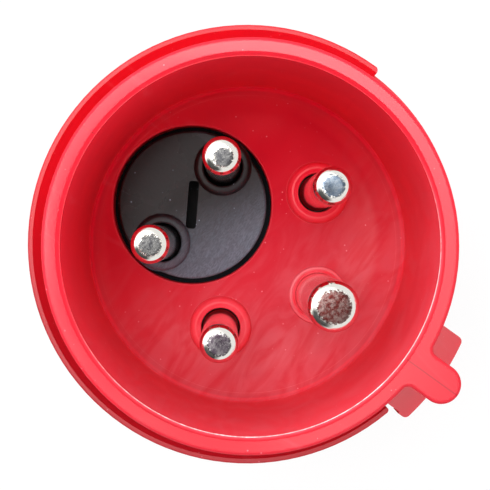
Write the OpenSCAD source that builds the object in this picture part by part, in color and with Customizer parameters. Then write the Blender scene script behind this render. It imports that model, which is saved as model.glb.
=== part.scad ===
// Five-pin pin and sleeve plug with a phase inverter: three lines, neutral and earth.
// The plug stands on its gland end. Its axis is Z, the mating face looks up, and the
// key rib and the earth pin are on the -Y side.

/* [Overall] */
// Height of the shroud's rim above the end of the gland nut
overall_h = 160; // [150:1:200]
// Diameter of the shroud's mouth
mouth_d = 57.6; // [54:0.2:70]
// Depth of the shroud from rim to floor
shroud_depth = 38; // [30:0.5:46]
// Thickness of the shroud's wall at the rim
shroud_wall = 2.75; // [2.2:0.05:3.6]
// Thickness of the shroud's floor
floor_t = 5; // [4:0.5:8]
// How much smaller the shroud's radius is at its floor
mouth_draft = 0.4; // [0:0.1:0.8]

/* [Pins] */
// Diameter of the circle that the earth, neutral and third line pins stand on
pitch_d = 31.3; // [30:0.1:34]
// Diameter of a line or neutral pin
pin_d = 6; // [5:0.1:7.2]
// Diameter of the earth pin
earth_d = 8; // [6.5:0.1:9.2]
// How far the line and neutral pins stop short of the rim
pin_recess = 2; // [0:0.1:5]
// How far the earth pin stops short of the rim
earth_recess = 1; // [0:0.1:4]
// Radius of the rounding at a line pin's tip
pin_round = 1.6; // [0.8:0.1:2.5]
// Radius of the rounding at the earth pin's tip
earth_round = 1.8; // [0.8:0.1:3]
// Diameter of the raised ring round a fixed pin
boss_d = 10.9; // [10:0.1:12.4]
// Height of the raised rings
boss_h = 1.5; // [0.5:0.1:3]
// Gap round a line pin in its ring
pin_hole_gap = 0.5; // [0.3:0.05:0.8]

/* [Phase inverter] */
// Distance of the rotor's axis from the plug's axis
rotor_offset = 12.15; // [11.6:0.05:12.6]
// Width of the rotor's disc outside its pins
rotor_edge = 1.6; // [1:0.05:2.2]
// Gap between the disc and the floor round it
rotor_gap = 0.95; // [0.3:0.05:1.2]
// Distance between the rotor's two pins
rotor_pitch = 17.4; // [14.4:0.1:18]
// Diameter of the rings round the rotor's pins
rotor_boss_d = 10; // [9.4:0.1:11]
// How far the rotor stands turned from its nominal place
rotor_rest = -3.2; // [-4:0.1:4]
// Length of the screwdriver slot
slot_l = 8.6; // [6:0.1:11]
// Width of the screwdriver slot
slot_w = 1.85; // [1.2:0.05:2.5]
// Angle of the slot from the line between the rotor's pins
slot_a = 34.5; // [0:0.5:90]
// Travel of the rotor when it is pushed in
rotor_push = 2; // [1:0.1:2.4]

/* [Key and thumb lug] */
// Width of the key rib
key_w = 6.1; // [5:0.1:8]
// How far the key rib stands out of the shroud
key_out = 7.05; // [5:0.05:8]
// Width of the lug behind the key
lug_w = 17.4; // [12:0.1:20]
// How far the lug stands out of the collar
lug_out = 3.2; // [1:0.1:6]

/* [Rear housing] */
// Gap between the shroud and the collar round it
collar_room = 4.15; // [3.6:0.05:8]
// Height of the collar's front edge below the rim
collar_drop = 33; // [28:0.5:36]
// Thickness of the collar
collar_wall = 3; // [2.4:0.1:4]
// Angle of the gap in the collar
collar_gap = 101.8; // [98:0.1:120]
// Number of finger flutes on the grip
flutes = 12; // [6:1:16]
// Turn that undoes the bayonet
bayonet_turn = 70; // [60:1:72]

/* [Gland] */
// Thickness of the gland nut round the neck's thread
nut_wall = 5.7; // [4:0.1:8]
// Height of the gland nut
nut_h = 36; // [32:0.5:42]
// Diameter of the hole for the cable
cable_d = 24; // [18:0.5:25]
// Number of grip scallops on the nut
nut_scallops = 14; // [8:1:18]
// Diameter of the neck's thread
neck_d = 41; // [40:0.2:50]

/* [Fits] */
// Gap between pieces that move past each other
run_gap = 0.3; // [0.2:0.05:0.5]
// Radial clearance of the rotor's axle in its bearing
axle_fit = 0.04; // [0.02:0.01:0.08]
// Radial clearance of a pressed or screwed piece
seat_fit = 0.04; // [0.02:0.01:0.08]

/* [Hidden] */
$fn = 96;
ARC_STEPS = 6;

// Diameters that follow what they enclose.
collar_d = mouth_d + 2 * (shroud_wall + collar_room + collar_wall);
rotor_d = rotor_pitch + pin_d + 2 * rotor_edge;
nut_d = neck_d + 2 * (run_gap + nut_wall);

// Pins, by the clock position that each has seen from the front.
EARTH_A = -90;
LINE_3_A = -18;
NEUTRAL_A = 198;

// Levels, from the rim down.
rim_z = overall_h;
floor_z = rim_z - shroud_depth;
under_z = floor_z - floor_t;
flange_t = 3;
flange_z = floor_z - flange_t;
gasket_t = 0.9;
seat_z = flange_z - gasket_t;
collar_z = rim_z - collar_drop;
carrier_t = 22;
carrier_z = under_z - carrier_t;
barrel_l = 15;
barrel_z = carrier_z - barrel_l;
spigot_l = 25;
spigot_z = under_z - spigot_l;

// Shroud.
mouth_r = mouth_d / 2;
deep_r = mouth_r - mouth_draft;
shroud_r = mouth_r + shroud_wall;
collar_r = collar_d / 2;
collar_in = collar_r - collar_wall;
rim_round = 0.55;
rim_chamfer = 0.65;
edge_round = 0.12;
floor_fillet = 1.6;
hole_round = 0.3;
spigot_wall = 3;
spigot_step = 0.55;
spigot_r = shroud_r - spigot_step;
spigot_bore = spigot_r - spigot_wall;
flange_r = collar_in - run_gap;
key_reach = shroud_r + key_out;
lug_reach = collar_r + lug_out;
key_fillet_r = 1.3;
lug_round = 1;
lug_top = collar_z - 1.5;
lug_step = 0.35;
lug_step_back = 2.6;
weld = 0.03;

// Bayonet, and the gap in the collar that lets the thumb lug turn.
bayonet_lugs = 3;
bayonet_rest = 30;
bayonet_reach = 2;
bayonet_span = 24;
bayonet_h = 4;
bayonet_z = spigot_z + 6;
bayonet_track = spigot_r + bayonet_reach + run_gap;
housing_bore = spigot_r + run_gap;
lug_side_a = asin(lug_w / collar_d);

// Rear housing.
collar_flat = 0.85;
collar_slope_h = (collar_wall - collar_flat) * 1.1;
collar_corner = 1;
room_ledge = 2.5;
nut_gap = 0.8;
shoulder_z = nut_h + nut_gap;
grip_low_inset = 5.5;
grip_high_inset = 3.1;
grip_rise = 24;
grip_low_r = collar_r - grip_low_inset;
grip_low_z = shoulder_z + grip_rise;
grip_high_r = collar_r - grip_high_inset;
grip_high_z = spigot_z - 2;
skirt_z = seat_z - 8;
wire_room_r = spigot_r - room_ledge;
ledge_r = 12;
flute_depth = 1.4;
flute_share = 0.6;

// Pins and terminals.
pin_r = pin_d / 2;
earth_r = earth_d / 2;
pitch_r = pitch_d / 2;
root_step = 0.2;
root_cone = 1.2;
web_t = 1.5;
pin_shoulder_z = under_z - web_t;
boss_round = 1.1;
earth_ring_w = 0.8;
earth_ring_h = 0.4;
barrel_r = 4.5;
earth_barrel_r = 5.5;
wire_r = 2.5;
wire_l = 11;
screw_r = 2;
screw_head_r = 2.9;
screw_head_h = 1.8;
screw_z = barrel_z + 4.5;

// Rotor.
rotor_r = rotor_d / 2;
rotor_pin_r0 = rotor_pitch / 2;
rotor_hole_r = rotor_r + rotor_gap;
rotor_flange_r = rotor_hole_r + 0.75;
rotor_flange_t = 4;
rotor_flange_z = under_z - 0.1;
rotor_hub_t = 3.5;
rotor_boss_round = 0.8;
rotor_tail_l = 7;
line_root_z = floor_z + boss_h + 0.1;
tab_w = 3;
tab_reach = 1.2;
tab_z = rotor_flange_z - rotor_flange_t;
tab_half = 9;
shoe_top = tab_z - rotor_push - run_gap;
slot_depth = 5;
shoe_in = rotor_pin_r0 + pin_r + root_step + run_gap;
shoe_t = 1.2;
shoe_half = 25;
strap_fit = 0.05;
leaf_gap = 0.1;
leaf_t = 0.4;
chamber_r = shoe_in + shoe_t + leaf_t + 0.4;
chamber_z = carrier_z + 3;
hub_r = shoe_in - run_gap;
hub_z = tab_z - rotor_hub_t;
tail_z = hub_z - rotor_tail_l;
strap_half = 15;
bearing_z = chamber_z + 2;
axle_z = carrier_z - 1;
seat_t = 0.6;
washer_t = 1;
spring_wire = 0.9;
bearing_r = rotor_pin_r0 - pin_r - root_step - 0.5;
spring_r = bearing_r - 0.8;
axle_r = spring_r - 1.2;
spring_turns = 4.5;

// Screws that hold the carrier.
CARRIER_SCREWS = [[22.5, 20], [22.5, 160], [22.5, -54], [22.5, -126]];
carrier_screw_r = 1.6;
carrier_head_r = 3;
carrier_head_h = 1.9;
post_r = 3;
post_l = 8;
screw_gap = 0.2;
carrier_gap = 0.25;
screw_slot_w = 0.8;
screw_slot_depth = 0.8;

// Gland.
neck_r = neck_d / 2;
nut_r = nut_d / 2;
neck_z = 14;
neck_wall = 5;
neck_bore = neck_r - neck_wall;
cable_r = cable_d / 2;
nut_lip = 4;
nut_shoulder_z = neck_z - 3.5;
slip_t = 1.4;
ring_inset = 0.2;
cage_t = neck_z - nut_shoulder_z - slip_t;
finger_inset = 2.3;
finger_t = 2.2;
finger_r = neck_r - finger_inset;
claw_slots = 4;
claw_slot_w = 1.8;
claw_z = nut_lip + 0.6;
cone_z = nut_shoulder_z - 1.5;
cone_rise = 3.6;
nut_foot_r = nut_r - 1.8;
scallop_r = 4;
scallop_depth = 1.3;
seal_l = 18;
seal_squeeze = 3;
seal_bore = cable_r - seal_squeeze;

LINES = ["line_1", "line_2"];

// Points along an arc, from angle a0 to a1.
function arc(x, y, r, a0, a1, n = ARC_STEPS) =
    [for (i = [0:n]) let (a = a0 + (a1 - a0) * i / n) [x + r * cos(a), y + r * sin(a)]];

// A smooth step from 0 to 1.
function ease(t) = (1 - cos(180 * t)) / 2;

// Points of a smooth flare, from radius r0 at z0 to radius r1 at z1.
function flare(r0, z0, r1, z1, n = 8) =
    [for (i = [0:n]) [r0 + (r1 - r0) * ease(i / n), z0 + (z1 - z0) * i / n]];

// A tube with sharp edges.
module tube(r, bore, z0, z1) {
    rotate_extrude() translate([bore, z0]) square([r - bore, z1 - z0]);
}

// A plain round bar.
module bar(r, z0, z1) {
    translate([0, 0, z0]) cylinder(r = r, h = z1 - z0);
}

// A piece of a tube that spans the angles a0 to a1.
module sector(r, bore, z0, z1, a0, a1) {
    rotate(a0) rotate_extrude(angle = a1 - a0) translate([bore, z0]) square([r - bore, z1 - z0]);
}

// Puts a piece at polar place [radius, angle] with its own +X pointing outwards.
module at(r, a) {
    rotate(a) translate([r, 0, 0]) children();
}

// Puts a piece on the rotor's axis, turned with the rotor.
module in_rotor() {
    translate([0, rotor_offset, 0]) rotate(rotor_rest) children();
}

// A raised boss with a rounded edge and a small fillet at its foot.
module boss(r, z0, h, round_r, foot = 0.25) {
    rotate_extrude() polygon(concat(
        [[0, z0 - 1], [r + foot, z0 - 1]],
        arc(r + foot, z0 + foot, foot, 270, 180, 3),
        arc(r - round_r, z0 + h - round_r, round_r, 0, 90),
        [[0, z0 + h]]));
}

// Cutter for a hole with a rounded mouth at level z1.
module mouthed_hole(r, z0, z1, round_r) {
    rotate_extrude() polygon(concat(
        [[0, z0], [r, z0]],
        arc(r + round_r, z1 - round_r, round_r, 180, 90, 4),
        [[r + round_r, z1 + 1], [0, z1 + 1]]));
}

// The front part: shroud, floor, flange, key rib and thumb lug in one moulding.
module shroud() {
    color("crimson") difference() {
        union() {
            shroud_shell();
            key_rib();
            thumb_lug();
            for (i = [0:bayonet_lugs - 1])
                sector(spigot_r + bayonet_reach, spigot_r - 1, bayonet_z, bayonet_z + bayonet_h,
                    bayonet_rest + i * 120 - bayonet_span / 2, bayonet_rest + i * 120 + bayonet_span / 2);
            for (a = [LINE_3_A, NEUTRAL_A]) at(pitch_r, a) boss(boss_d / 2, floor_z, boss_h, boss_round);
            at(pitch_r, EARTH_A) boss(earth_r + earth_ring_w, floor_z, earth_ring_h, earth_ring_h * 0.8);
            for (s = CARRIER_SCREWS) at(s[0], s[1]) bar(post_r, under_z - post_l, under_z + 1);
        }
        for (a = [LINE_3_A, NEUTRAL_A])
            at(pitch_r, a) mouthed_hole(pin_r + pin_hole_gap, under_z - 1, floor_z + boss_h, hole_round);
        at(pitch_r, EARTH_A) bar(earth_r + root_step + seat_fit, under_z - 1, floor_z + 1);
        translate([0, rotor_offset, 0]) mouthed_hole(rotor_hole_r, under_z - 1, floor_z, hole_round);
        for (s = CARRIER_SCREWS)
            at(s[0], s[1]) bar(carrier_screw_r + seat_fit, under_z - post_l - 1, under_z + floor_t / 2);
    }
}

module shroud_shell() {
    rotate_extrude() polygon(concat(
        [[0, under_z], [spigot_bore, under_z], [spigot_bore, spigot_z],
         [spigot_r - 0.8, spigot_z], [spigot_r, spigot_z + 0.8], [spigot_r, flange_z],
         [flange_r - 0.4, flange_z], [flange_r, flange_z + 0.4]],
        arc(flange_r - 0.6, floor_z - 0.6, 0.6, 0, 90),
        arc(shroud_r + 1, floor_z + 1, 1, 270, 180),
        arc(shroud_r - rim_round, rim_z - rim_round, rim_round, 0, 90),
        arc(mouth_r + rim_chamfer, rim_z - edge_round, edge_round, 90, 135, 3),
        arc(mouth_r + edge_round, rim_z - rim_chamfer, edge_round, 135, 180, 3),
        arc(deep_r - floor_fillet, floor_z + floor_fillet, floor_fillet, 0, -90),
        [[0, floor_z]]));
}

module key_rib() {
    end_r = key_w / 2;
    end_y = key_reach - end_r;
    rim_profile = concat([[0, flange_z], [end_r, flange_z]],
        arc(end_r - rim_round, rim_z - rim_round, rim_round, 0, 90), [[0, rim_z]]);
    intersection() {
        union() {
            translate([0, -end_y, 0]) rotate_extrude() polygon(rim_profile);
            rotate([90, 0, 0]) linear_extrude(end_y) union() {
                polygon(rim_profile);
                mirror([1, 0]) polygon(rim_profile);
            }
        }
        tube(key_reach + 1, mouth_r + 1, flange_z, rim_z);
    }
    key_fillet();
    mirror([1, 0, 0]) key_fillet();
}

// Hollow corner between the key's side and the shroud, with the rim's rounding carried round it.
module key_fillet() {
    reach = shroud_r + key_fillet_r - weld;
    side = key_w / 2 + key_fillet_r - weld;
    level = -sqrt(reach * reach - side * side);
    inside = (shroud_r - 1) / reach;
    difference() {
        translate([0, 0, floor_z - 1]) linear_extrude(rim_z - floor_z + 1)
            polygon([[1, level], [side, level], [side * inside, level * inside], [1, level * inside]]);
        translate([side, level, 0]) mouthed_hole(key_fillet_r, floor_z - 2, rim_z, rim_round);
    }
}

module thumb_lug() {
    half = lug_w / 2;
    corner = half - lug_round;
    corner_y = sqrt(pow(lug_reach - lug_round, 2) - corner * corner);
    translate([0, 0, flange_z]) linear_extrude(lug_top - flange_z) difference() {
        intersection() {
            union() {
                translate([-half, -corner_y]) square([lug_w, corner_y]);
                translate([-corner, -lug_reach]) square([2 * corner, lug_reach]);
                for (side = [-1, 1]) translate([side * corner, -corner_y]) circle(lug_round);
            }
            circle(lug_reach);
        }
        translate([-half - 1, -lug_reach + lug_step_back]) square([1 + lug_step, lug_reach]);
        circle(shroud_r - 1);
    }
}

// The rear part: C-shaped collar, grip and neck in one moulding.
module rear_housing() {
    color("firebrick") difference() {
        housing_shell();
        sector(collar_r + 5, housing_bore - 1, seat_z, collar_z + 5, EARTH_A, EARTH_A - lug_side_a + collar_gap);
        translate([-lug_w / 2 - run_gap, -collar_r - 5, seat_z])
            cube([lug_w / 2 + run_gap, collar_r + 5 - housing_bore, collar_z]);
        for (i = [0:bayonet_lugs - 1]) {
            rest_a = bayonet_rest + i * 120;
            half = bayonet_span / 2 + 1;
            sector(bayonet_track, housing_bore - 1, bayonet_z - run_gap, bayonet_z + bayonet_h + run_gap,
                rest_a - half, rest_a + bayonet_turn + half);
            sector(bayonet_track + 0.2, housing_bore - 1, bayonet_z + 1, seat_z + 1,
                rest_a + bayonet_turn - half, rest_a + bayonet_turn + half - 0.5);
        }
        collar_corner_cut(EARTH_A - lug_side_a + collar_gap, -1);
        collar_corner_cut(EARTH_A - asin((lug_w / 2 + run_gap) / collar_r), 1);
        for (i = [0:flutes - 1]) rotate(i * 360 / flutes) grip_flute();
    }
}

// Cutter that rounds the outer corner of the collar's end at angle a. The collar lies beyond side * a.
module collar_corner_cut(a, side) {
    c = collar_corner;
    rotate(a) translate([collar_r - c + weld, -side * (c - weld), seat_z + 0.5]) linear_extrude(collar_z)
        polygon(concat(arc(0, 0, c, 0, side * 90, 4), [[0, side * (c + 1)], [c + 1, side * (c + 1)], [c + 1, 0]]));
}

module housing_shell() {
    ledge_z = neck_z + seal_l;
    rotate_extrude() polygon(concat(
        [[neck_bore, neck_z], [neck_r - 1, neck_z], [neck_r, neck_z + 1], [neck_r, shoulder_z]],
        flare(nut_r, shoulder_z, grip_low_r, grip_low_z),
        flare(grip_low_r, grip_low_z, grip_high_r, grip_high_z, 5),
        flare(grip_high_r, grip_high_z, collar_r, skirt_z, 6),
        arc(collar_r - 0.3, collar_z - 0.3, 0.3, 0, 90, 3),
        [[collar_r - collar_flat, collar_z], [collar_in, collar_z - collar_slope_h], [collar_in, seat_z],
         [housing_bore, seat_z], [housing_bore, spigot_z - 1], [wire_room_r, spigot_z - 1]],
        flare(wire_room_r, barrel_z - 5, ledge_r, ledge_z + 4),
        [[ledge_r, ledge_z], [neck_bore, ledge_z]]));
}

// Shallow recess between two grip ribs, following the housing's side.
module grip_flute() {
    share = 360 / flutes * flute_share;
    rotate(-share / 2) rotate_extrude(angle = share) polygon(concat(
        [[grip_low_r + 3, grip_low_z]],
        flare(grip_low_r - flute_depth, grip_low_z + flute_depth, grip_high_r - flute_depth,
            grip_high_z - flute_depth, 5),
        [[grip_high_r + 3, grip_high_z]]));
}

// Flat seal between the housing's seat and the shroud's flange.
module flange_gasket() {
    color("dimgray") tube(flange_r - 0.4, bayonet_track + 0.5, seat_z, flange_z);
}

// Ring at the end of the neck, with claws that the nut's cone squeezes onto the cable.
module clamp_cage() {
    color("gainsboro") difference() {
        union() {
            tube(neck_r - ring_inset, cable_r + 0.5, neck_z - cage_t, neck_z);
            rotate_extrude() polygon([
                [finger_r - finger_t, neck_z - cage_t + 0.5], [finger_r, neck_z - cage_t + 0.5],
                [finger_r, cone_z + 1], [finger_r - cone_rise, claw_z], [finger_r - cone_rise - 1.6, claw_z],
                [finger_r - finger_t, cone_z + 1]]);
        }
        for (i = [0:claw_slots - 1]) rotate(i * 180 / claw_slots)
            translate([-finger_r - 1, -claw_slot_w / 2, claw_z - 1])
                cube([2 * finger_r + 2, claw_slot_w, neck_z - cage_t - claw_z + 1]);
    }
}

// Rubber bush round the cable, with rings that tear out for a thicker one.
module gland_seal() {
    color("dimgray") difference() {
        bar(neck_bore - seat_fit, neck_z, neck_z + seal_l);
        bar(seal_bore, neck_z - 1, neck_z + seal_l + 1);
        for (r = [seal_bore + 2, seal_bore + 4]) tube(r + 0.4, r, neck_z - 1, neck_z + 4);
    }
}

// Slip ring between the nut's shoulder and the cage.
module slip_ring() {
    color("silver") tube(neck_r - ring_inset, finger_r + run_gap, nut_shoulder_z, nut_shoulder_z + slip_t);
}

// Gland nut with scalloped grip, cone and rounded mouth.
module gland_nut() {
    color("dimgray") difference() {
        rotate_extrude() polygon(concat(
            [[cable_r, 0], [nut_foot_r - 1.5, 0]],
            arc(nut_foot_r - 1.5, 1.5, 1.5, -90, -20, 4),
            [[nut_r, nut_h * 0.45]],
            arc(nut_r - 1, nut_h - 1, 1, 0, 90, 4),
            [[neck_r + run_gap, nut_h], [neck_r + run_gap, nut_shoulder_z], [finger_r + run_gap, nut_shoulder_z],
             [finger_r + run_gap, cone_z], [finger_r + run_gap - cone_rise, nut_lip], [cable_r, nut_lip]]));
        for (i = [0:nut_scallops - 1]) rotate(i * 360 / nut_scallops)
            translate([nut_r + scallop_r - scallop_depth, 0, -1]) cylinder(r = scallop_r, h = nut_h + 2);
    }
}

// Insulating block behind the floor: it carries the pins, the rotor's bearing and the contacts.
module contact_carrier() {
    color("darkslategray") difference() {
        bar(spigot_bore - carrier_gap, carrier_z, under_z);
        difference() {
            translate([0, rotor_offset, 0]) union() {
                bar(chamber_r, chamber_z, under_z + 1);
                bar(rotor_flange_r + run_gap, tab_z - rotor_push - run_gap, under_z + 1);
            }
            translate([0, rotor_offset, 0]) bar(bearing_r, carrier_z, bearing_z);
        }
        in_rotor() sector(rotor_flange_r + tab_reach + run_gap, rotor_flange_r - 1,
            tab_z - rotor_push - run_gap, under_z + 1, 180 - tab_half, 360 + tab_half);
        translate([0, rotor_offset, 0]) bar(axle_r + axle_fit, carrier_z - 1, bearing_z + 1);
        for (a = [LINE_3_A, NEUTRAL_A]) at(pitch_r, a) barrel_hole(pin_r, barrel_r);
        at(pitch_r, EARTH_A) barrel_hole(earth_r, earth_barrel_r);
        for (s = CARRIER_SCREWS) at(s[0], s[1]) {
            bar(carrier_screw_r + screw_gap, carrier_z - 1, under_z);
            bar(post_r + screw_gap, under_z - post_l - screw_gap, under_z + 1);
        }
        in_rotor() for (a = [0, 180])
            sector(shoe_in + shoe_t + strap_fit, shoe_in - strap_fit, carrier_z - 1, chamber_z + 1,
                a - strap_half - 0.5, a + strap_half + 0.5);
    }
}

// Stepped hole that a pin is pushed into from behind, up to its shoulder.
module barrel_hole(r, back_r) {
    bar(back_r + seat_fit, carrier_z - 1, pin_shoulder_z);
    bar(r + root_step + seat_fit, carrier_z, under_z + 1);
}

// Profile of a pin from its root up: a slightly thicker root, the shank and the rounded tip.
function pin_front(r, z0, root_z, tip_z, round_r) = concat(
    [[r + root_step, z0], [r + root_step, root_z - root_cone], [r, root_z]],
    arc(r - round_r, tip_z - round_r, round_r, 0, 90, 10),
    [[0, tip_z]]);

// A turned pin with a thicker barrel behind it, drilled for the wire and for its screw.
module turned_pin(r, back_r, root_z, tip_z, back_z, round_r) {
    difference() {
        rotate_extrude() polygon(concat(
            [[0, back_z], [back_r - 0.5, back_z], [back_r, back_z + 0.5], [back_r, pin_shoulder_z]],
            pin_front(r, pin_shoulder_z, root_z, tip_z, round_r)));
        bar(wire_r, back_z - 1, back_z + wire_l);
        translate([0, 0, screw_z]) rotate([0, 90, 0]) cylinder(r = screw_r + seat_fit, h = back_r + 1);
    }
}

module earth_pin() {
    color("silver") at(pitch_r, EARTH_A) turned_pin(earth_r, earth_barrel_r, floor_z + earth_ring_h + 0.1,
        rim_z - earth_recess, barrel_z, earth_round);
}

module line_pin(a) {
    color("silver") at(pitch_r, a)
        turned_pin(pin_r, barrel_r, line_root_z, rim_z - pin_recess, barrel_z, pin_round);
}

// Contact that rubs on a rotor pin's tail: a curved shoe on a strap, with a drilled barrel below it.
module inverter_contact(side) {
    color("goldenrod") in_rotor() rotate(side) difference() {
        union() {
            sector(shoe_in + shoe_t, shoe_in, chamber_z + 1, shoe_top, -shoe_half, shoe_half);
            sector(shoe_in + shoe_t - 0.1, shoe_in + 0.1, carrier_z - 1, chamber_z + 2, -strap_half, strap_half);
            translate([shoe_in + shoe_t / 2, 0, 0]) bar(barrel_r, barrel_z, carrier_z - 0.3);
        }
        translate([shoe_in + shoe_t / 2, 0, 0]) bar(wire_r, barrel_z - 1, barrel_z + wire_l);
        translate([shoe_in + shoe_t / 2, 0, screw_z]) rotate([0, 90, 0])
            cylinder(r = screw_r + seat_fit, h = barrel_r + 1);
    }
}

// Leaf that presses a shoe onto the tail.
module leaf_spring(side) {
    color("silver") in_rotor() rotate(side)
        sector(shoe_in + shoe_t + leaf_gap + leaf_t, shoe_in + shoe_t + leaf_gap, chamber_z, shoe_top - 1,
            -shoe_half, shoe_half);
}

// Slotted terminal screw, pointing at the wire.
module terminal_screw(r0, back_r) {
    color("silver") translate([r0, 0, screw_z]) rotate([0, 90, 0]) difference() {
        union() {
            bar(screw_r, wire_r - 1.5, back_r + 0.2);
            bar(screw_head_r, back_r + 0.1, back_r + screw_head_h);
        }
        translate([-screw_head_r - 1, -screw_slot_w / 2, back_r + screw_head_h - screw_slot_depth])
            cube([2 * screw_head_r + 2, screw_slot_w, screw_slot_depth + 0.2]);
    }
}

// Cheese-head screw that holds the carrier to the shroud.
module carrier_screw(place) {
    color("silver") at(place[0], place[1]) difference() {
        union() {
            bar(carrier_screw_r, carrier_z - 0.5, under_z - 1);
            bar(carrier_head_r, carrier_z - carrier_head_h, carrier_z);
        }
        translate([-carrier_head_r - 1, -screw_slot_w / 2, carrier_z - carrier_head_h - 1])
            cube([2 * carrier_head_r + 2, screw_slot_w, screw_slot_depth + 1]);
    }
}

// Cup under the rotor's spring.
module spring_seat() {
    color("silver") translate([0, rotor_offset, 0]) tube(bearing_r, axle_r + run_gap, bearing_z, bearing_z + seat_t);
}

// Round wire wound in a helix, as one closed tube.
module coil(r, wire, z0, z1, turns) {
    sides = 8;
    steps = round(turns * 20);
    ring = [for (i = [0:steps]) for (j = [0:sides - 1])
        let (a = 360 * turns * i / steps, b = 360 * j / sides, d = r + wire / 2 * cos(b))
        [d * cos(a), d * sin(a), z0 + wire / 2 + (z1 - z0 - wire) * i / steps + wire / 2 * sin(b)]];
    walls = [for (i = [0:steps - 1]) for (j = [0:sides - 1]) let (k = (j + 1) % sides)
        [i * sides + j, (i + 1) * sides + j, (i + 1) * sides + k, i * sides + k]];
    polyhedron(ring, concat(walls, [[for (j = [0:sides - 1]) j]],
        [[for (j = [sides - 1:-1:0]) steps * sides + j]]));
}

module rotor_spring() {
    color("silver") translate([0, rotor_offset, 0])
        coil(spring_r, spring_wire, bearing_z + seat_t + 0.1, hub_z - washer_t - 0.1, spring_turns);
}

// Thrust washer between the spring and the turning rotor.
module rotor_washer() {
    color("silver") translate([0, rotor_offset, 0]) tube(bearing_r, axle_r + axle_fit, hub_z - washer_t, hub_z);
}

// Inverter rotor: slotted disc, flange with its stop tab, hub and axle.
module rotor() {
    color("dimgray") in_rotor() difference() {
        union() {
            rotate_extrude() polygon(concat(
                [[0, axle_z], [axle_r - 0.4, axle_z], [axle_r, axle_z + 0.4], [axle_r, hub_z],
                 [hub_r, hub_z], [hub_r, tab_z], [rotor_flange_r, tab_z], [rotor_flange_r, rotor_flange_z],
                 [rotor_r, rotor_flange_z]],
                arc(rotor_r - 0.4, floor_z - 0.4, 0.4, 0, 90, 4),
                [[0, floor_z]]));
            for (side = [-1, 1]) translate([side * rotor_pin_r0, 0, 0])
                boss(rotor_boss_d / 2, floor_z, boss_h, rotor_boss_round);
            intersection() {
                translate([-rotor_flange_r - tab_reach, -tab_w / 2, tab_z]) cube([tab_reach + 2, tab_w, rotor_flange_t]);
                bar(rotor_flange_r + tab_reach, tab_z, rotor_flange_z);
            }
        }
        for (side = [-1, 1]) translate([side * rotor_pin_r0, 0, 0]) {
            mouthed_hole(pin_r + pin_hole_gap, rotor_flange_z, floor_z + boss_h, hole_round);
            bar(pin_r + root_step + seat_fit, hub_z - 1, floor_z);
        }
        rotate(slot_a) translate([0, 0, floor_z - slot_depth]) linear_extrude(slot_depth + 1) slot_outline();
    }
}

module slot_outline() {
    square([slot_l - slot_w * 0.6, slot_w], center = true);
    square([slot_l, slot_w * 0.4], center = true);
    for (x = [-1, 1]) for (y = [-1, 1])
        translate([x * (slot_l / 2 - slot_w * 0.3), y * slot_w * 0.2]) circle(slot_w * 0.3);
}

module rotor_pin(side) {
    color("silver") in_rotor() rotate(side) translate([rotor_pin_r0, 0, 0])
        rotate_extrude() polygon(concat(
            [[0, tail_z], [pin_r - 0.5, tail_z]],
            pin_front(pin_r, tail_z + 0.6, line_root_z, rim_z - pin_recess, pin_round)));
}

rear_housing();
flange_gasket();
clamp_cage();
gland_seal();
slip_ring();
gland_nut();
shroud();
contact_carrier();
earth_pin();
line_pin(NEUTRAL_A);  // neutral_pin
line_pin(LINE_3_A);  // line_3_pin
for (i = [0:1]) {
    inverter_contact(i * 180);
    leaf_spring(i * 180);
    rotor_pin(i * 180);
}
at(pitch_r, EARTH_A) terminal_screw(0, earth_barrel_r);  // terminal_screw_1
at(pitch_r, NEUTRAL_A) terminal_screw(0, barrel_r);  // terminal_screw_2
at(pitch_r, LINE_3_A) terminal_screw(0, barrel_r);  // terminal_screw_3
for (i = [0:1])
    in_rotor() rotate(i * 180) terminal_screw(shoe_in + shoe_t / 2, barrel_r);
for (i = [0:3])
    carrier_screw(CARRIER_SCREWS[i]);
spring_seat();
rotor_spring();
rotor_washer();
rotor();
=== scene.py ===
# %% [markdown]
# # A phase inverter plug, seen into its mouth
# A pin and sleeve plug for three phase current. A screwdriver pushes its black rotor in and gives it half
# a turn, which swaps two of the three lines, so that a motor runs the other way round. The construction
# comes ready made: every moulding, pin and screw is loaded at its real size and is never moved. This file
# gives those pieces their finish, adds the few raised lines that are too fine for the construction, and
# sets up the light and the camera.

# %% Load the construction
import math

import bmesh
import bpy
from mathutils import Euler, Matrix, Vector


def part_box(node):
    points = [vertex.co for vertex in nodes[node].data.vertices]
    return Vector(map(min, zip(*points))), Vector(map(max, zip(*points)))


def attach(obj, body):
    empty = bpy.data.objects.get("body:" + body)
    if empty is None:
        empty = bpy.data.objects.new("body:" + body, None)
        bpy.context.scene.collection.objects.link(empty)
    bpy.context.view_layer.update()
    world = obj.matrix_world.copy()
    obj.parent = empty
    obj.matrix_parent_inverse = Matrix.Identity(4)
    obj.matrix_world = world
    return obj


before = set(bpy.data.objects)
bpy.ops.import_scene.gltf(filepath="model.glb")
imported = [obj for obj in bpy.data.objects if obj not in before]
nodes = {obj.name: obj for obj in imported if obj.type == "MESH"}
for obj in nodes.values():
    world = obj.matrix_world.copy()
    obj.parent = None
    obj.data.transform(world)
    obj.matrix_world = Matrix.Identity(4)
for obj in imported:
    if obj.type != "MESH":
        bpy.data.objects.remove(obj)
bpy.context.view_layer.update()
MM = 0.001      # the construction is in metres

# %% [markdown]
# ## Where things are
# The plug's axis is Z and its mouth looks up. The key rib and the earth pin are on the -Y side. Some
# finishes begin at a certain level, such as the floor of the mouth. The levels could be typed in, but
# they are read from the boxes round the pieces, so that a finish follows when a piece changes size.

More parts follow.
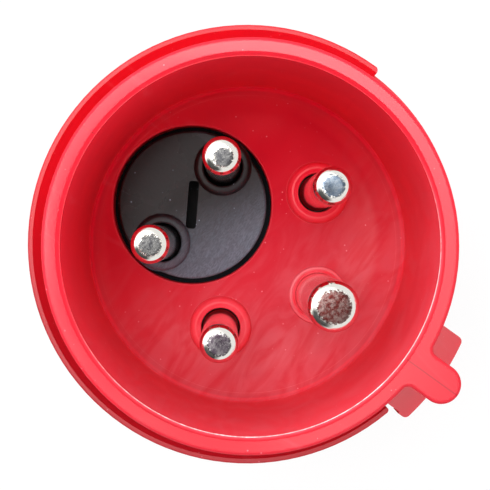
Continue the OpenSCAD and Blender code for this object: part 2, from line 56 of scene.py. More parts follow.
# %% Levels and radii
MOUTH_R = 28.8 * MM     # the shroud's box can't tell it, because a flange and a lug stand out further
RING_H = 1.5 * MM       # how far the rings round the rotor's pins stand above the mouth's floor
RIM_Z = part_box("shroud")[1].z
FLOOR_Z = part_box("rotor")[1].z - RING_H
print("rim at", round(RIM_Z / MM, 1), "mm and floor at", round(FLOOR_Z / MM, 1), "mm")


# %% The middle of a piece
def middle(piece):
    """The middle of a piece's box as seen from above, at level 0."""
    low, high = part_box(piece)
    return Vector(((low.x + high.x) / 2, (low.y + high.y) / 2, 0))


rotor_centre = middle("rotor")
print("the rotor stands", round(rotor_centre.length / MM, 1), "mm off the plug's axis")

# %% [markdown]
# ## The stage
# The plug stands on its gland end on a pale floor. More light on the floor would turn it white, but the
# red would bleach with it. So the floor is an ordinary pale surface to the light, which bounces off it
# and leaves a soft shadow, and it is mixed with plain white only where the camera looks at it, directly
# or in something shiny. Materials, the world and groups are all trees of nodes, so the two helpers that
# add a node and link it come first, and two more for the sums between them.

# %% Adding and linking nodes
def feed(tree, socket, value):
    """Links a socket to the value where that is another node's socket, and otherwise sets it."""
    if isinstance(value, bpy.types.NodeSocket):
        tree.links.new(value, socket)
    else:
        socket.default_value = value


def add(tree, kind, **values):
    """Adds a node, and gives its properties and its sockets these values by name."""
    node = tree.nodes.new(kind)
    for key, value in values.items():
        if hasattr(node, key):
            setattr(node, key, value)
        else:
            feed(tree, node.inputs[key.replace("_", " ")], value)
    return node


# %% Sums on numbers and on vectors
def maths(tree, operation, *values, kind="ShaderNodeMath"):
    """One sum on numbers. The node opens only the sockets that its operation needs."""
    node = add(tree, kind, operation=operation)
    open_sockets = [socket for socket in node.inputs if socket.enabled]
    for socket, value in zip(open_sockets, values):
        feed(tree, socket, value)
    return next(socket for socket in node.outputs if socket.enabled)


def vector(tree, operation, *values):
    """One sum on vectors. A length or a dot product comes out as a number."""
    return maths(tree, operation, *values, kind="ShaderNodeVectorMath")


# %% A new material
def shader(name):
    """A material with its tree and the Principled BSDF that is in it from the start."""
    material = bpy.data.materials.new(name)
    material.use_nodes = True
    return material, material.node_tree, material.node_tree.nodes["Principled BSDF"]


# %% Floor
FLOOR_REACH = 3.0       # from the middle to each side, in metres
FLOOR_WHITE = 0.8       # how much of what the camera sees is plain white; the rest holds the shadow


def make_floor():
    """A flat sheet that the camera sees as nearly white."""
    mesh = bmesh.new()
    bmesh.ops.create_grid(mesh, x_segments=1, y_segments=1, size=FLOOR_REACH)
    data = bpy.data.meshes.new("floor")
    mesh.to_mesh(data)
    mesh.free()
    floor = bpy.data.objects.new("floor", data)
    bpy.context.collection.objects.link(floor)
    material, tree, bsdf = shader("pale_floor")
    feed(tree, bsdf.inputs["Base Color"], (0.86, 0.86, 0.86, 1))
    feed(tree, bsdf.inputs["Roughness"], 0.9)
    rays = add(tree, "ShaderNodeLightPath").outputs
    seen = maths(tree, "MAXIMUM", rays["Is Camera Ray"], rays["Is Glossy Ray"])
    seen = maths(tree, "MAXIMUM", seen, rays["Is Transmission Ray"])
    glow = add(tree, "ShaderNodeEmission", Strength=1.0)
    both = add(tree, "ShaderNodeMixShader", Fac=maths(tree, "MULTIPLY", seen, FLOOR_WHITE))
    feed(tree, both.inputs[1], bsdf.outputs[0])
    feed(tree, both.inputs[2], glow.outputs[0])
    feed(tree, tree.nodes["Material Output"].inputs["Surface"], both.outputs[0])
    data.materials.append(material)
    return floor


floor = make_floor()
print("floor", floor.name)

# %% [markdown]
# ## The camera
# It looks straight down into the mouth from a hand's length away, with the key turned to the lower
# right. A long lens from far off would be easier to aim, but it would hide the shroud's wall: from this
# near, the floor of the mouth shows a sixth smaller than its rim, and the pins lean outwards. The camera
# is a little off the axis and tilted by under a degree, as one held by hand is.

# %% Camera
CAMERA_DISTANCE = 0.193     # from the rim, in metres
FOCAL = 2.618               # focal length as a share of the sensor's width
SENSOR = 36                 # in millimetres, as Blender gives sensors and lenses
TILT = (math.radians(-0.573), math.radians(-0.667))
ROLL = math.radians(-54.2)  # brings the key to the lower right
OFF_CENTRE = (0.00436, -0.00128)    # of the rim's centre in the view, as a share of the distance


def make_camera():
    """A camera that is placed by where it has the rim's centre."""
    data = bpy.data.cameras.new("camera")
    data.sensor_width = SENSOR
    data.lens = FOCAL * SENSOR
    data.clip_start = 0.01
    camera = bpy.data.objects.new("camera", data)
    bpy.context.collection.objects.link(camera)
    camera.rotation_euler = Euler((*TILT, ROLL))
    to_rim = Vector((*OFF_CENTRE, -1)) * CAMERA_DISTANCE
    camera.location = Vector((0, 0, RIM_Z)) - camera.rotation_euler.to_matrix() @ to_rim
    bpy.context.scene.camera = camera
    return camera


camera = make_camera()
print("camera at", [round(v, 4) for v in camera.location])

# %% [markdown]
# ## The light
# The plug stands in a white tent, so light comes from everywhere. It comes most from a broad part of the
# roof on the side away from the key, and from a small bright panel nearly overhead. Three things in the
# tent are dark and show in every shiny pin: the camera as a small disc straight above, its stand as a
# faint grey patch round that, and whoever holds it as a broad shadow low on one side. Lamps could give
# the same light, but not those reflections, so the whole tent is drawn on the world as soft round patches.

# %% Ramps
def ramp(tree, source, low, high, bottom=0.0, top=1.0, easing="SMOOTHSTEP"):
    """Goes from bottom to top as the source goes from low to high, and no further."""
    return add(tree, "ShaderNodeMapRange", interpolation_type=easing, Value=source, From_Min=low,
               From_Max=high, To_Min=bottom, To_Max=top).outputs["Result"]


# %% Patches of the tent
def sky_direction(azimuth, tilt):
    """The direction that is this far round from +X and this far down from straight above, in degrees."""
    a, t = math.radians(azimuth), math.radians(tilt)
    return (math.sin(t) * math.cos(a), math.sin(t) * math.sin(a), math.cos(t))


TENT_LEVEL = 0.95
# Where a patch is, how many degrees from there it is full and has faded, and its strength. The first two
# add this much light, and the last three leave this share of it.
ROOF = (sky_direction(118, 34), 30, 62, 1.1)
PANEL = (sky_direction(82, 10), 6, 24, 4.2)
HOLDER = (sky_direction(172, 60), 22, 42, 0.06)
CAMERA_DISC = (sky_direction(190, 0.3), 7.3, 8.4, 0.012)
STAND = (sky_direction(186, 9.5), 4, 9, 0.5)
print("the panel is", 2 * PANEL[1], "degrees across where it is full")


# %% World
def make_tent():
    """A world that is white, with the patches added to it or taken from it."""
    world = bpy.data.worlds.new("tent")
    bpy.context.scene.world = world
    world.use_nodes = True
    tree = world.node_tree
    tree.nodes.clear()
    direction = add(tree, "ShaderNodeTexCoord").outputs["Generated"]

    def patch(towards, full, faded, outside, inside):
        nearness = vector(tree, "DOT_PRODUCT", direction, towards)
        return ramp(tree, nearness, math.cos(math.radians(faded)), math.cos(math.radians(full)),
                    outside, inside)

    level = patch(*ROOF[:3], TENT_LEVEL, TENT_LEVEL + ROOF[3])
    level = maths(tree, "ADD", level, patch(*PANEL[:3], 0.0, PANEL[3]))
    for shade in (HOLDER, CAMERA_DISC, STAND):
        level = maths(tree, "MULTIPLY", level, patch(*shade[:3], 1.0, shade[3]))
    light = add(tree, "ShaderNodeBackground", Color=(1, 1, 1, 1), Strength=level)
    add(tree, "ShaderNodeOutputWorld", Surface=light.outputs[0])
    return world


print("world", make_tent().name)

# %% [markdown]
# ## What a finish puts out
# A finish that several materials share is a node group: built once, and placed in each material with its
# own values. The effects could be copied into every material instead, but then one change would have to
# be made in each. A group here gives a colour, a roughness, a height for the fine relief and a normal,
# which bends the light where the real surface is rounder than its mesh.

# %% A new group
def new_group(name, inputs):
    """A group with these inputs, what it is given and what it puts out. An input's value is a number, or
    a tuple of three for a vector or of four for a colour."""
    group = bpy.data.node_groups.new(name, "ShaderNodeTree")
    for title, value in inputs.items():
        kind = {3: "Vector", 4: "Color"}[len(value)] if isinstance(value, tuple) else "Float"
        socket = group.interface.new_socket(title, in_out="INPUT", socket_type="NodeSocket" + kind)
        socket.default_value = value
    for title, kind in (("Color", "Color"), ("Roughness", "Float"), ("Height", "Float"),
                        ("Normal", "Vector")):
        group.interface.new_socket(title, in_out="OUTPUT", socket_type="NodeSocket" + kind)
    return group, group.nodes.new("NodeGroupInput").outputs, group.nodes.new("NodeGroupOutput").inputs


# %% A material from a group
def finished(name, group, inputs, relief_strength, relief_height):
    """A material whose colour, roughness and relief come from a group with these inputs."""
    material, tree, bsdf = shader(name)
    finish = add(tree, "ShaderNodeGroup", node_tree=group)
    for title, value in inputs.items():
        finish.inputs[title].default_value = value
    relief = add(tree, "ShaderNodeBump", Strength=relief_strength, Distance=relief_height,
                 Height=finish.outputs["Height"], Normal=finish.outputs["Normal"])
    feed(tree, bsdf.inputs["Base Color"], finish.outputs["Color"])
    feed(tree, bsdf.inputs["Roughness"], finish.outputs["Roughness"])
    feed(tree, bsdf.inputs["Normal"], relief.outputs["Normal"])
    return material, bsdf


# %% [markdown]
# ## Moulded nylon
# All the plastic mouldings share one group. It needs to know three things about each point: how far it is
# from the plug's axis, how high it is, and how much it faces up. Painted masks could say where the floor
# or the outside is, but sums on Object coordinates say it too, and they have no seams.

# %% Group: what a moulding's finish can be told
NYLON_INPUTS = {
    "Base": (0.5, 0.5, 0.5, 1), "Dust And Sheen Color": (0.5, 0.5, 0.5, 1),
    "Dust": 0.3, "Scuffs": 0.1, "Haze": 0.0,                # how much there is of each; the haze is partly painted sheen
    "Haze Side": (0, 0, 0), "Haze Centre": (0, 0, 0),       # where haze and its painted sheen gather, and from where that counts
    "Haze Start": -0.2,                                     # how far along the side it begins
    "Haze Scale": 55.0, "Haze Evenness": 0.25,              # how fine it is, and how much lies between
    "Haze Reach": 1.0,                                      # the radius where the inside ends
    "Handled": 0.0, "Parting Line": 0.0,                    # how much painted shade and the parting line darken the outside
    "Floor Value": 1.0,                                     # how light the painted shade leaves the mouth's floor
    "Fillet Level": 0.0, "Fillet Radius": 1.0,              # the floor's level, and where its corner begins
    "Grime Level": 0.0,                                     # the level below which painted shade darkens it
    "Low Roughness": 0.3, "High Roughness": 0.5, "Side Roughness": 0.4, "Grain Size": 900.0,
}
nylon, given, result = new_group("moulded_finish", NYLON_INPUTS)
print("group", nylon.name, "with", len(NYLON_INPUTS), "inputs")


# %% Working with masks
def axis(tree, vector_socket, name):
    """One of the three numbers in a vector."""
    return add(tree, "ShaderNodeSeparateXYZ", Vector=vector_socket).outputs[name]


def product(tree, first, *others):
    """All of these masks at once: 1 only where each of them is."""
    for other in others:
        first = maths(tree, "MULTIPLY", first, other)
    return first


def rest_of(tree, mask):
    """1 where the mask is 0, and 0 where it is 1."""
    return maths(tree, "SUBTRACT", 1.0, mask)


# %% Where a point is on the moulding
SOFT_EDGE = 0.5 * MM    # over which the mouth's inside passes into its outside
surface = add(nylon, "ShaderNodeTexCoord").outputs
place = surface["Object"]
facing_up = axis(nylon, surface["Normal"], "Z")
level_face = maths(nylon, "ABSOLUTE", facing_up)
height = axis(nylon, place, "Z")
radius = vector(nylon, "LENGTH", vector(nylon, "MULTIPLY", place, (1, 1, 0)))
inside = ramp(nylon, maths(nylon, "SUBTRACT", radius, given["Haze Reach"]), -SOFT_EDGE, 0.0, 1.0, 0.0)
outside = rest_of(nylon, inside)
over_floor = maths(nylon, "SUBTRACT", height, given["Fillet Level"])
print("inside and outside meet over", round(SOFT_EDGE / MM, 2), "mm")

# %% [markdown]
# ## Dust
# Dust lies on a moulding as single pale specks, gathered in some places and missing in others. A fine
# noise would give smudges with soft ends. Voronoi cells have hard centres that make round specks, and two
# clouds choose where they lie.

# %% Clouds
def noise(tree, points, scale, detail, **more):
    """Clouds from 0 to 1, about this many to a metre."""
    return add(tree, "ShaderNodeTexNoise", Vector=points, Scale=scale, Detail=detail, **more).outputs["Fac"]


# %% Dust
CELLS = 800.0           # to a metre
SPECK = (0.14, 0.06)    # from a cell's centre, in cells: where a speck ends, and where it is full
cells = add(nylon, "ShaderNodeTexVoronoi", Vector=place, Scale=CELLS)
specks = ramp(nylon, cells.outputs["Distance"], *SPECK)
settled = ramp(nylon, noise(nylon, place, 130.0, 3.0), 0.42, 0.6)
single = ramp(nylon, noise(nylon, place, 1300.0, 0.0), 0.5, 0.6)
dust = product(nylon, specks, settled, single, given["Dust"])
print("a speck of dust is at most", round(2 * SPECK[0] / CELLS / MM, 2), "mm wide")

# %% [markdown]
# ## Haze with painted sheen, and scuffs
# Years of plugging in and wiping leave a thin pale film inside the mouth, in swirls that thicken towards
# one side. That film is also painted sheen: it lightens the side of the mouth and of the rotor that the
# light reaches, and it paints a glint on the flash. The colour could simply fade towards that side, but it
# would look airbrushed. So a dot product says how far along that side a point is, and noise that is
# stretched and distorted breaks the film up. Long thin noise adds the marks that the sockets scratch.

# %% Stretched clouds and straight ramps
def stretched(tree, points, stretch):
    """Places for a noise whose clouds are narrower along an axis that is stretched more."""
    return add(tree, "ShaderNodeMapping", Vector=points, Scale=stretch).outputs["Vector"]


def between(tree, share, bottom, top):
    """This share of the way from bottom to top, in a straight line."""
    return ramp(tree, share, 0.0, 1.0, bottom, top, "LINEAR")


# %% Haze with painted sheen, and scuffs
WALL_HAZE = 0.75        # how much of the haze and its painted sheen lies on an upright wall
from_centre = vector(nylon, "SUBTRACT", place, given["Haze Centre"])
along = vector(nylon, "DOT_PRODUCT", from_centre, given["Haze Side"])
side = ramp(nylon, along, given["Haze Start"], 1.0)
swirls = noise(nylon, stretched(nylon, place, (1.0, 3.2, 1.0)), given["Haze Scale"], 6.0, Distortion=1.8)
wiped = between(nylon, ramp(nylon, swirls, 0.32, 0.72), given["Haze Evenness"], 1.0)
clings = ramp(nylon, level_face, 0.2, 0.7, WALL_HAZE, 1.0)
# Painted sheen: the haze lightens the side of the mouth, of the rotor and of the flash that the light
# reaches.
haze = product(nylon, wiped, side, given["Haze"], inside, clings)
lines = noise(nylon, stretched(nylon, place, (7.0, 1.0, 1.4)), 38.0, 5.0, Distortion=1.0)
scuffs = product(nylon, ramp(nylon, lines, 0.6, 0.75), given["Scuffs"])
film_and_sheen = maths(nylon, "MAXIMUM", haze, scuffs)
print("walls keep", WALL_HAZE, "of the haze")

# %% [markdown]
# ## The colour of a moulding
# One red would look like paint. Real nylon is slightly cloudy. Painted shade makes it darker on the floor of
# the mouth and on one side of its outside, and a thin dark line shows where the two halves of the mould met.
# Each of those is a factor on the colour's value, so that the hue stays the same. Dust and haze are laid
# over it, and the haze is partly painted sheen. Painted shade darkens what is far down in a gap.

# %% How light the colour is
FLOOR_FADE = (0.1 * MM, 0.45 * MM)      # above the floor, where its painted shade fades out
SEAM_HALF = (0.05 * MM, 0.15 * MM)      # from the middle of the parting line to its soft edge
clouds = noise(nylon, place, 60.0, 4.0)
# Painted shade: the mouth's floor is darkened, up to a little above it.
low_down = ramp(nylon, over_floor, *FLOOR_FADE, 1.0, 0.0)
floor_shade_mask = product(nylon, low_down, inside, ramp(nylon, facing_up, 0.4, 0.9))
off_middle = maths(nylon, "ABSOLUTE", axis(nylon, place, "X"))
seam = product(nylon, ramp(nylon, off_middle, *SEAM_HALF, 1.0, 0.0), outside, given["Parting Line"])
# Painted shade on the outside, on the haze's side.
side_shade_mask = product(nylon, side, outside, given["Handled"])
value = product(nylon, ramp(nylon, clouds, 0.3, 0.7, 0.94, 1.04),
                between(nylon, floor_shade_mask, 1.0, given["Floor Value"]),
                rest_of(nylon, seam), rest_of(nylon, side_shade_mask))
print("the parting line is about", round(2 * SEAM_HALF[1] / MM, 2), "mm wide")

# %% Mixing
def mix(tree, share, first, second, data_type="RGBA"):
    """This share of the way from the first colour or vector to the second."""
    return add(tree, "ShaderNodeMix", data_type=data_type, Factor=share, A=first,
               B=second).outputs["Result"]


# %% Film with painted sheen, dust and painted gap shade over the colour
GAP_SHADE_DEPTH = 1.5 * MM      # below the level where the gap's painted shade begins, where it is darkest
GAP_SHADE_LEFT = 0.15           # of the colour that the painted shade leaves there
tone = add(nylon, "ShaderNodeHueSaturation", Color=given["Base"], Value=value).outputs[0]
hazy_and_sheened = mix(nylon, film_and_sheen, tone, given["Dust And Sheen Color"])
dusty = mix(nylon, dust, hazy_and_sheened, given["Dust And Sheen Color"])
over_gap_shade = maths(nylon, "SUBTRACT", height, given["Grime Level"])
# Painted shade down in a gap: below the level, the colour darkens.
unshaded = ramp(nylon, over_gap_shade, -GAP_SHADE_DEPTH, 0.0, GAP_SHADE_LEFT, 1.0)
feed(nylon, result["Color"], add(nylon, "ShaderNodeHueSaturation", Color=dusty, Value=unshaded).outputs[0])
print("colour ready,", len(nylon.nodes), "nodes so far")

# %% [markdown]
# ## Gloss, corner and grain
# Faces that look straight up or down came off polished steel, and walls were drawn off blasted steel, so
# the walls are much duller. The corner between the mouth's floor and wall is rounded, and a rounding that
# sharp would catch a bright line. On the real moulding it is soft and reads as one with the floor, so
# there the floor's gloss goes on and the normal is bent to look up. A finer mesh could do it too, but not
# without changing the piece.

# %% Where the mouth's soft corner is
CORNER_TOP = (1.2 * MM, 1.6 * MM)       # above the floor, where the corner ends softly
near_floor = ramp(nylon, over_floor, *CORNER_TOP, 1.0, 0.0)
near_wall = ramp(nylon, maths(nylon, "SUBTRACT", radius, given["Fillet Radius"]), -SOFT_EDGE, 0.0)
corner = product(nylon, near_floor, near_wall, ramp(nylon, facing_up, 0.45, 0.55))
print("the soft corner ends", round(CORNER_TOP[1] / MM, 1), "mm above the floor")

# %% Roughness, normal and height of a moulding
FILM_DULLS = 0.5        # how much roughness a full film or the gap's painted shade adds
polished = maths(nylon, "MAXIMUM", ramp(nylon, level_face, 0.985, 0.998), corner)
gloss = between(nylon, ramp(nylon, clouds, 0.35, 0.65), given["Low Roughness"], given["High Roughness"])
rough = between(nylon, polished, given["Side Roughness"], gloss)
dull = maths(nylon, "MAXIMUM", film_and_sheen, rest_of(nylon, unshaded))
feed(nylon, result["Roughness"], maths(nylon, "ADD", rough, product(nylon, dull, FILM_DULLS)))
true_normal = add(nylon, "ShaderNodeNewGeometry").outputs["Normal"]
bent = mix(nylon, corner, true_normal, (0, 0, 1), "VECTOR")
feed(nylon, result["Normal"], vector(nylon, "NORMALIZE", bent))
grain = noise(nylon, place, given["Grain Size"], 2.0)
feed(nylon, result["Height"], maths(nylon, "ADD", grain, dust))
print("group", nylon.name, "has", len(nylon.nodes), "nodes")

# %% [markdown]
# ## The mouldings
# The front is a bright, slightly bluish red with its film of haze, which is partly painted sheen, and
# painted shade on its floor and on one side of its outside. The housing is a deeper red, with painted shade
# on one side.
# The rotor is black and dusty, with painted sheen on one side and painted shade down in the gap round it.
# Hidden parts are plain black or white nylon, and the seals are rubber. All of them are the one group with
# other values, because they differ in colour, gloss and wear, and not in kind.

# %% A plastic
NYLON_RELIEF = 0.1 * MM     # how far the grain stands out where its strength is 1


def plastic(name, base, film_and_sheen, rough, grain=(1000, 0.2), specular=0.5, **marks):
    """A moulding in its base colour. Film is the colour of its dust and haze, and of the painted sheen that
    the haze lays on one side. Rough is its least and its most roughness on level faces, and the one on its
    walls. Grain is how fine it is and how strong.
    Marks are the group's other inputs, in small letters."""
    inputs = {"Base": (*base, 1), "Dust And Sheen Color": (*film_and_sheen, 1), "Low Roughness": rough[0],
              "High Roughness": rough[1], "Side Roughness": rough[2], "Grain Size": grain[0]}
    for mark, value in marks.items():
        inputs[mark.replace("_", " ").title()] = value
    material, bsdf = finished(name, nylon, inputs, grain[1], NYLON_RELIEF)
    bsdf.inputs["Specular IOR Level"].default_value = specular
    return material


def side_vector(azimuth, reach):
    """Grows from 0 to 1 over this reach in this direction, when it is multiplied with a place."""
    a = math.radians(azimuth)
    return (math.cos(a) / reach, math.sin(a) / reach, 0)


# %% Red mouldings
WIPED_AND_SHEEN_SIDE = -120       # where haze and dust gather, in degrees from +X: beside the key. The haze there is partly painted sheen, and the outside there takes painted shade.
SHADED_SIDE = -169        # where painted shade darkens the housing's outside
# The colour of the red's dust and of its painted sheen.
PINK = (0.95, 0.42, 0.51)
CORNER_W = 1.8 * MM     # from the mouth's radius in to where the floor's corner has begun
# The red's haze is partly painted sheen on the key's side; its outside there and the mouth's floor take
# painted shade.
red = plastic("red_nylon", (0.95, 0.004, 0.029), PINK, (0.055, 0.085, 0.7), (1400, 0.01),
              dust=0.45, scuffs=0.05, haze=0.24, haze_side=side_vector(WIPED_AND_SHEEN_SIDE, 26 * MM),
              haze_start=-0.6, haze_scale=75.0, haze_evenness=0.5, haze_reach=MOUTH_R + SOFT_EDGE,
              handled=0.3, parting_line=0.3, floor_value=0.72, fillet_level=FLOOR_Z,
              fillet_radius=MOUTH_R - CORNER_W)
# The flash's haze is a painted glint: near white on the key's side.
flash_red_glint = plastic("flash_nylon_painted_glint", (0.9, 0.02, 0.04), (1, 0.9, 0.9), (0.1, 0.15, 0.2), (1000, 0.0),
                    dust=0.0, scuffs=0.0, haze=1.0, haze_side=side_vector(WIPED_AND_SHEEN_SIDE, 28 * MM),
                    haze_scale=200.0, haze_evenness=0.4)
# The welt's pale pink is a painted highlight.
welt_red_highlight = plastic("welt_nylon_painted_highlight", (0.9, 0.13, 0.17), PINK, (0.1, 0.15, 0.15), dust=0.0, scuffs=0.0)
# The housing's outside takes painted shade on one side.
housing_red = plastic("housing_nylon", (0.7, 0.004, 0.0175), PINK, (0.3, 0.4, 0.5), (1000, 0.1),
                      scuffs=0.05, haze_side=side_vector(SHADED_SIDE, 32 * MM), haze_reach=0.0, handled=0.36)
print(red.name, flash_red_glint.name, welt_red_highlight.name, housing_red.name)

# %% Black and white mouldings and rubber
GREY = (0.3, 0.3, 0.3)
UNSHADED_GAP = 1 * MM      # below the mouth's floor, where the painted shade in the gap round the rotor begins
# The rotor's haze is partly painted sheen on the key's side, and down in the gap round it painted shade
# darkens it.
black = plastic("rotor_nylon", (0.012, 0.0055, 0.0055), (0.25, 0.33, 0.42), (0.24, 0.34, 0.5), (1600, 0.2),
                specular=0.22, dust=1.0, haze=0.64, haze_side=side_vector(WIPED_AND_SHEEN_SIDE, 12 * MM),
                haze_centre=rotor_centre, haze_scale=800.0, haze_evenness=0.6,
                grime_level=FLOOR_Z - UNSHADED_GAP)
nut_black = plastic("nut_nylon", (0.02, 0.02, 0.022), GREY, (0.4, 0.55, 0.5), dust=0.4)
carrier_black = plastic("carrier_nylon", (0.03, 0.03, 0.032), GREY, (0.45, 0.6, 0.5))
cage_white = plastic("cage_nylon", (0.6, 0.6, 0.57), (0.7, 0.7, 0.7), (0.4, 0.5, 0.5))
rubber = plastic("seal_rubber", (0.02, 0.02, 0.02), GREY, (0.6, 0.8, 0.7), (700, 0.4), dust=0.4)
print(black.name, nut_black.name, carrier_black.name, cage_white.name, rubber.name)

# %% [markdown]
# ## Plated metal
# The pins are brass under bright nickel. Their sides stay shiny, and on each end the sockets rub a dull,
# pitted patch with a ragged edge. The end is a shallow dome, which shows a round piece of the tent, where
# a flat end would be one flat tone. A texture of a worn end would look the same on every pin, but a mask
# by distance from a centre lets each pin be rubbed more on one side and by its own amount.

# %% Group: what a metal's finish can be told
METAL_INPUTS = {
    "Plate": (0.8, 0.8, 0.8, 1), "Worn": (0.3, 0.3, 0.3, 1),    # its colours, new and rubbed
    "Tip Level": 1.0,                                           # the level above which it is a pin's end
    "Centre": (0, 0, 0), "Worn Radius": 0.0, "Dents": 0.0,      # of the worn patch
    "Low Roughness": 0.06, "High Roughness": 0.25,
}
plate, given, result = new_group("worn_plate", METAL_INPUTS)
print("group", plate.name, "with", len(METAL_INPUTS), "inputs")

# %% The domed end of a pin
DOME = 50.0             # how fast the end slopes away from the patch's centre, per metre
END_DEPTH = 0.3 * MM    # above the Tip Level, over which the end begins
surface = add(plate, "ShaderNodeTexCoord").outputs
place = surface["Object"]
above = maths(plate, "SUBTRACT", axis(plate, place, "Z"), given["Tip Level"])
facing_up = axis(plate, surface["Normal"], "Z")
end_face = product(plate, ramp(plate, above, 0.0, END_DEPTH), ramp(plate, facing_up, 0.9, 0.98))
outward = vector(plate, "MULTIPLY", vector(plate, "SUBTRACT", place, given["Centre"]), (DOME, DOME, 0))
turned = add(plate, "ShaderNodeVectorTransform", vector_type="VECTOR", convert_from="OBJECT",
             convert_to="WORLD", Vector=outward).outputs[0]
true_normal = add(plate, "ShaderNodeNewGeometry").outputs["Normal"]
domed = vector(plate, "ADD", true_normal, vector(plate, "SCALE", turned, end_face))
feed(plate, result["Normal"], vector(plate, "NORMALIZE", domed))
print("a pin's end is a dome of", round(1 / DOME / MM), "mm radius")

# %% The worn patch on it
RAGGED = 0.3 * MM       # how far the patch's edge wanders
PATCH_EDGE = 0.2 * MM   # half the width over which it fades
dents = noise(plate, place, 2400, 4.0, Roughness=0.65)
wander = ramp(plate, dents, 0.3, 0.7, -RAGGED, RAGGED)
from_centre = maths(plate, "DIVIDE", vector(plate, "LENGTH", outward), DOME)
past_edge = maths(plate, "SUBTRACT", maths(plate, "ADD", from_centre, wander), given["Worn Radius"])
tip = product(plate, end_face, ramp(plate, past_edge, -PATCH_EDGE, PATCH_EDGE, 1.0, 0.0))
print("its edge wanders by", round(RAGGED / MM, 1), "mm")

# %% Colour, roughness and height of a metal
TIP_ROUGHNESS = 0.22        # of the worn patch, at least
TARNISH = 0.04              # how much of the worn colour lies on the rest
PITTED = (0.88, 0.99)       # how much of it the patch takes, least and most
SCRATCH_DEPTH = 0.03        # as a share of the relief
pits = ramp(plate, noise(plate, place, 1300, 8.0, Roughness=0.75), 0.36, 0.64)
grime = product(plate, ramp(plate, pits, 0.0, 1.0, *PITTED), maths(plate, "MAXIMUM", tip, TARNISH))
feed(plate, result["Color"], mix(plate, grime, given["Plate"], given["Worn"]))
scratches = noise(plate, place, 420, 6.0, Distortion=1.5)
shine = between(plate, ramp(plate, scratches, 0.35, 0.7), given["Low Roughness"], given["High Roughness"])
feed(plate, result["Roughness"], maths(plate, "MAXIMUM", shine, product(plate, tip, TIP_ROUGHNESS)))
relief = product(plate, dents, tip, given["Dents"])
feed(plate, result["Height"], maths(plate, "ADD", relief, product(plate, scratches, SCRATCH_DEPTH)))
print("group", plate.name, "has", len(plate.nodes), "nodes")

# %% [markdown]
# ## The pins and the screws
# Plate wears to a different shade on each pin's end: grey, bluish, purplish, and brown on the earth pin,
# where the brass shows through. So every pin has its own material from the one group. Contacts, springs
# and screws keep their factory finish.

# %% A metal
METAL_RELIEF = 0.4 * MM     # how far a full dent goes in


def metal(name, base, worn, rough, **wear):
    """Metal in the colour of its plate. Worn is its colour where it is rubbed, and rough is its least
    and its most roughness. Wear is the group's other inputs, in small letters."""
    inputs = {"Plate": (*base, 1), "Worn": (*worn, 1), "Low Roughness": rough[0], "High Roughness": rough[1]}
    for mark, value in wear.items():
        inputs[mark.replace("_", " ").title()] = value
    material, bsdf = finished(name, plate, inputs, 1.0, METAL_RELIEF)
    bsdf.inputs["Metallic"].default_value = 1.0
    return material


# %% Plate for the pins
NICKEL = (0.87, 0.85, 0.79)
NICKEL_ROUGHNESS = (0.05, 0.16)
RUBBED_SIDE = -99       # where the sockets rub the pins most, in degrees from +X
TIP_DEPTH = 0.4 * MM    # below the pin's top, where its end begins
LINE_PIN_R = 3 * MM
EARTH_PIN_R = 4 * MM


def pin_plate(pin, radius, worn, dents, share, shift):
    """Plate for a pin of this radius, with a worn patch on its end: the patch's colour, how dented it is,
    its share of the pin's radius, and how far it is off the middle."""
    a = math.radians(RUBBED_SIDE)
    centre = middle(pin) + Vector((math.cos(a), math.sin(a), 0)) * shift
    return metal("plate_" + pin, NICKEL, worn, NICKEL_ROUGHNESS, dents=dents, centre=centre,
                 tip_level=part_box(pin)[1].z - TIP_DEPTH, worn_radius=share * radius)


# What pin_plate asks for after the pin's name: its radius, then colour, dents, share and shift.
WEAR = {
    "line_1_pin": (LINE_PIN_R, (0.05, 0.05, 0.055), 0.22, 0.5, 0.5 * MM),
    "line_2_pin": (LINE_PIN_R, (0.025, 0.025, 0.03), 0.22, 0.56, 0.25 * MM),
    "line_3_pin": (LINE_PIN_R, (0.07, 0.1, 0.14), 0.03, 0.58, 0.1 * MM),
    "neutral_pin": (LINE_PIN_R, (0.05, 0.035, 0.05), 0.05, 0.6, 0.1 * MM),
    "earth_pin": (EARTH_PIN_R, (0.07, 0.005, 0.004), 0.12, 0.66, 0.1 * MM),
}
PINS = {pin: pin_plate(pin, *wear) for pin, wear in WEAR.items()}
print(len(PINS), "pins plated")

# %% Brass and zinc
brass = metal("bright_brass", (0.75, 0.55, 0.25), (0.3, 0.2, 0.1), (0.2, 0.35))
zinc = metal("zinc_plate", (0.7, 0.71, 0.74), (0.35, 0.34, 0.33), (0.25, 0.4))
print(brass.name, zinc.name)

# %% [markdown]
# ## Give every piece its finish
# A piece already has a material slot, filled when it was loaded. A material could be appended to it, but
# the faces would go on using the first slot, so what is in that slot is swapped. What isn't named below
# is a pin, or one of the small parts of plated steel: screws, springs, the washer and the rings.

# %% Finish for each piece
FINISH = {
    "shroud": red, "rear_housing": housing_red, "rotor": black, "gland_nut": nut_black,
    "contact_carrier": carrier_black, "clamp_cage": cage_white, "gland_seal": rubber,
    "flange_gasket": rubber, "line_1_contact": brass, "line_2_contact": brass,
}
for name, piece in nodes.items():
    for slot in piece.material_slots:
        slot.material = FINISH.get(name) or PINS.get(name, zinc)
print(len(nodes), "pieces finished")
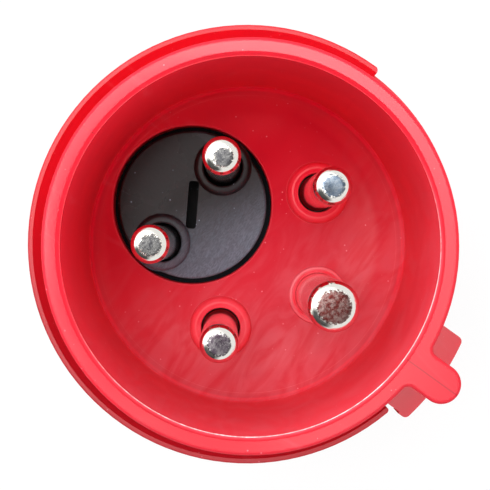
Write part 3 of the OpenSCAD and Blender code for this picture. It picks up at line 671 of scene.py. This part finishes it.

# %% [markdown]
# ## Lines that the mould leaves
# Three beads are too fine for the construction: the flash along the mouth's inner edge, which catches
# the light as a thin line and carries a painted glint on the key's side, the plastic that closes round the
# earth pin's foot, and the soft welt round that, whose paler pink is a painted highlight. Bevelled curves
# would do, but a section that is spun about an axis is a mesh from the start. The beads ride with the front
# of the plug, because it turns in the housing.

# %% Beads
def bead(name, centre, level, radius, wire, material):
    """A ring of round wire that lies flat at this level about a centre. Wire is the wire's own radius."""
    mesh = bmesh.new()
    upright = Matrix.Translation((radius, 0, 0)) @ Matrix.Rotation(math.pi / 2, 4, "X")
    bmesh.ops.create_circle(mesh, segments=8, radius=wire, matrix=upright)
    bmesh.ops.spin(mesh, geom=mesh.verts[:] + mesh.edges[:], cent=(0, 0, 0), axis=(0, 0, 1),
                   angle=math.tau, steps=160, use_merge=True)
    bmesh.ops.recalc_face_normals(mesh, faces=mesh.faces)
    bmesh.ops.translate(mesh, verts=mesh.verts, vec=(*centre, level))
    for face in mesh.faces:
        face.smooth = True
    data = bpy.data.meshes.new(name)
    mesh.to_mesh(data)
    mesh.free()
    data.materials.append(material)
    piece = bpy.data.objects.new(name, data)
    bpy.context.collection.objects.link(piece)
    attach(piece, "front_part")
    return piece


# %% Flash, foot and welt
EARTH_BARREL_R = 5.5 * MM   # the barrel that holds the earth wire, the widest part of its pin
earth_centre = (0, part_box("earth_pin")[1].y - EARTH_BARREL_R)
# For each bead its level, its ring's radius and its wire's.
FLASH = (RIM_Z - 0.62 * MM, MOUTH_R + 0.03 * MM, 0.1 * MM)
FOOT = (FLOOR_Z + 0.38 * MM, EARTH_PIN_R + 0.14 * MM, 0.12 * MM)
WELT = (FLOOR_Z + 0.08 * MM, EARTH_PIN_R + 0.85 * MM, 0.38 * MM)
beads = [
    bead("mouth_flash", (0, 0), *FLASH, flash_red_glint),
    bead("earth_pin_foot", earth_centre, *FOOT, red),
    bead("earth_pin_welt", earth_centre, *WELT, welt_red_highlight),
]
print([piece.name for piece in beads], "added")

# %% View transform
bpy.context.scene.view_settings.view_transform = "Standard"
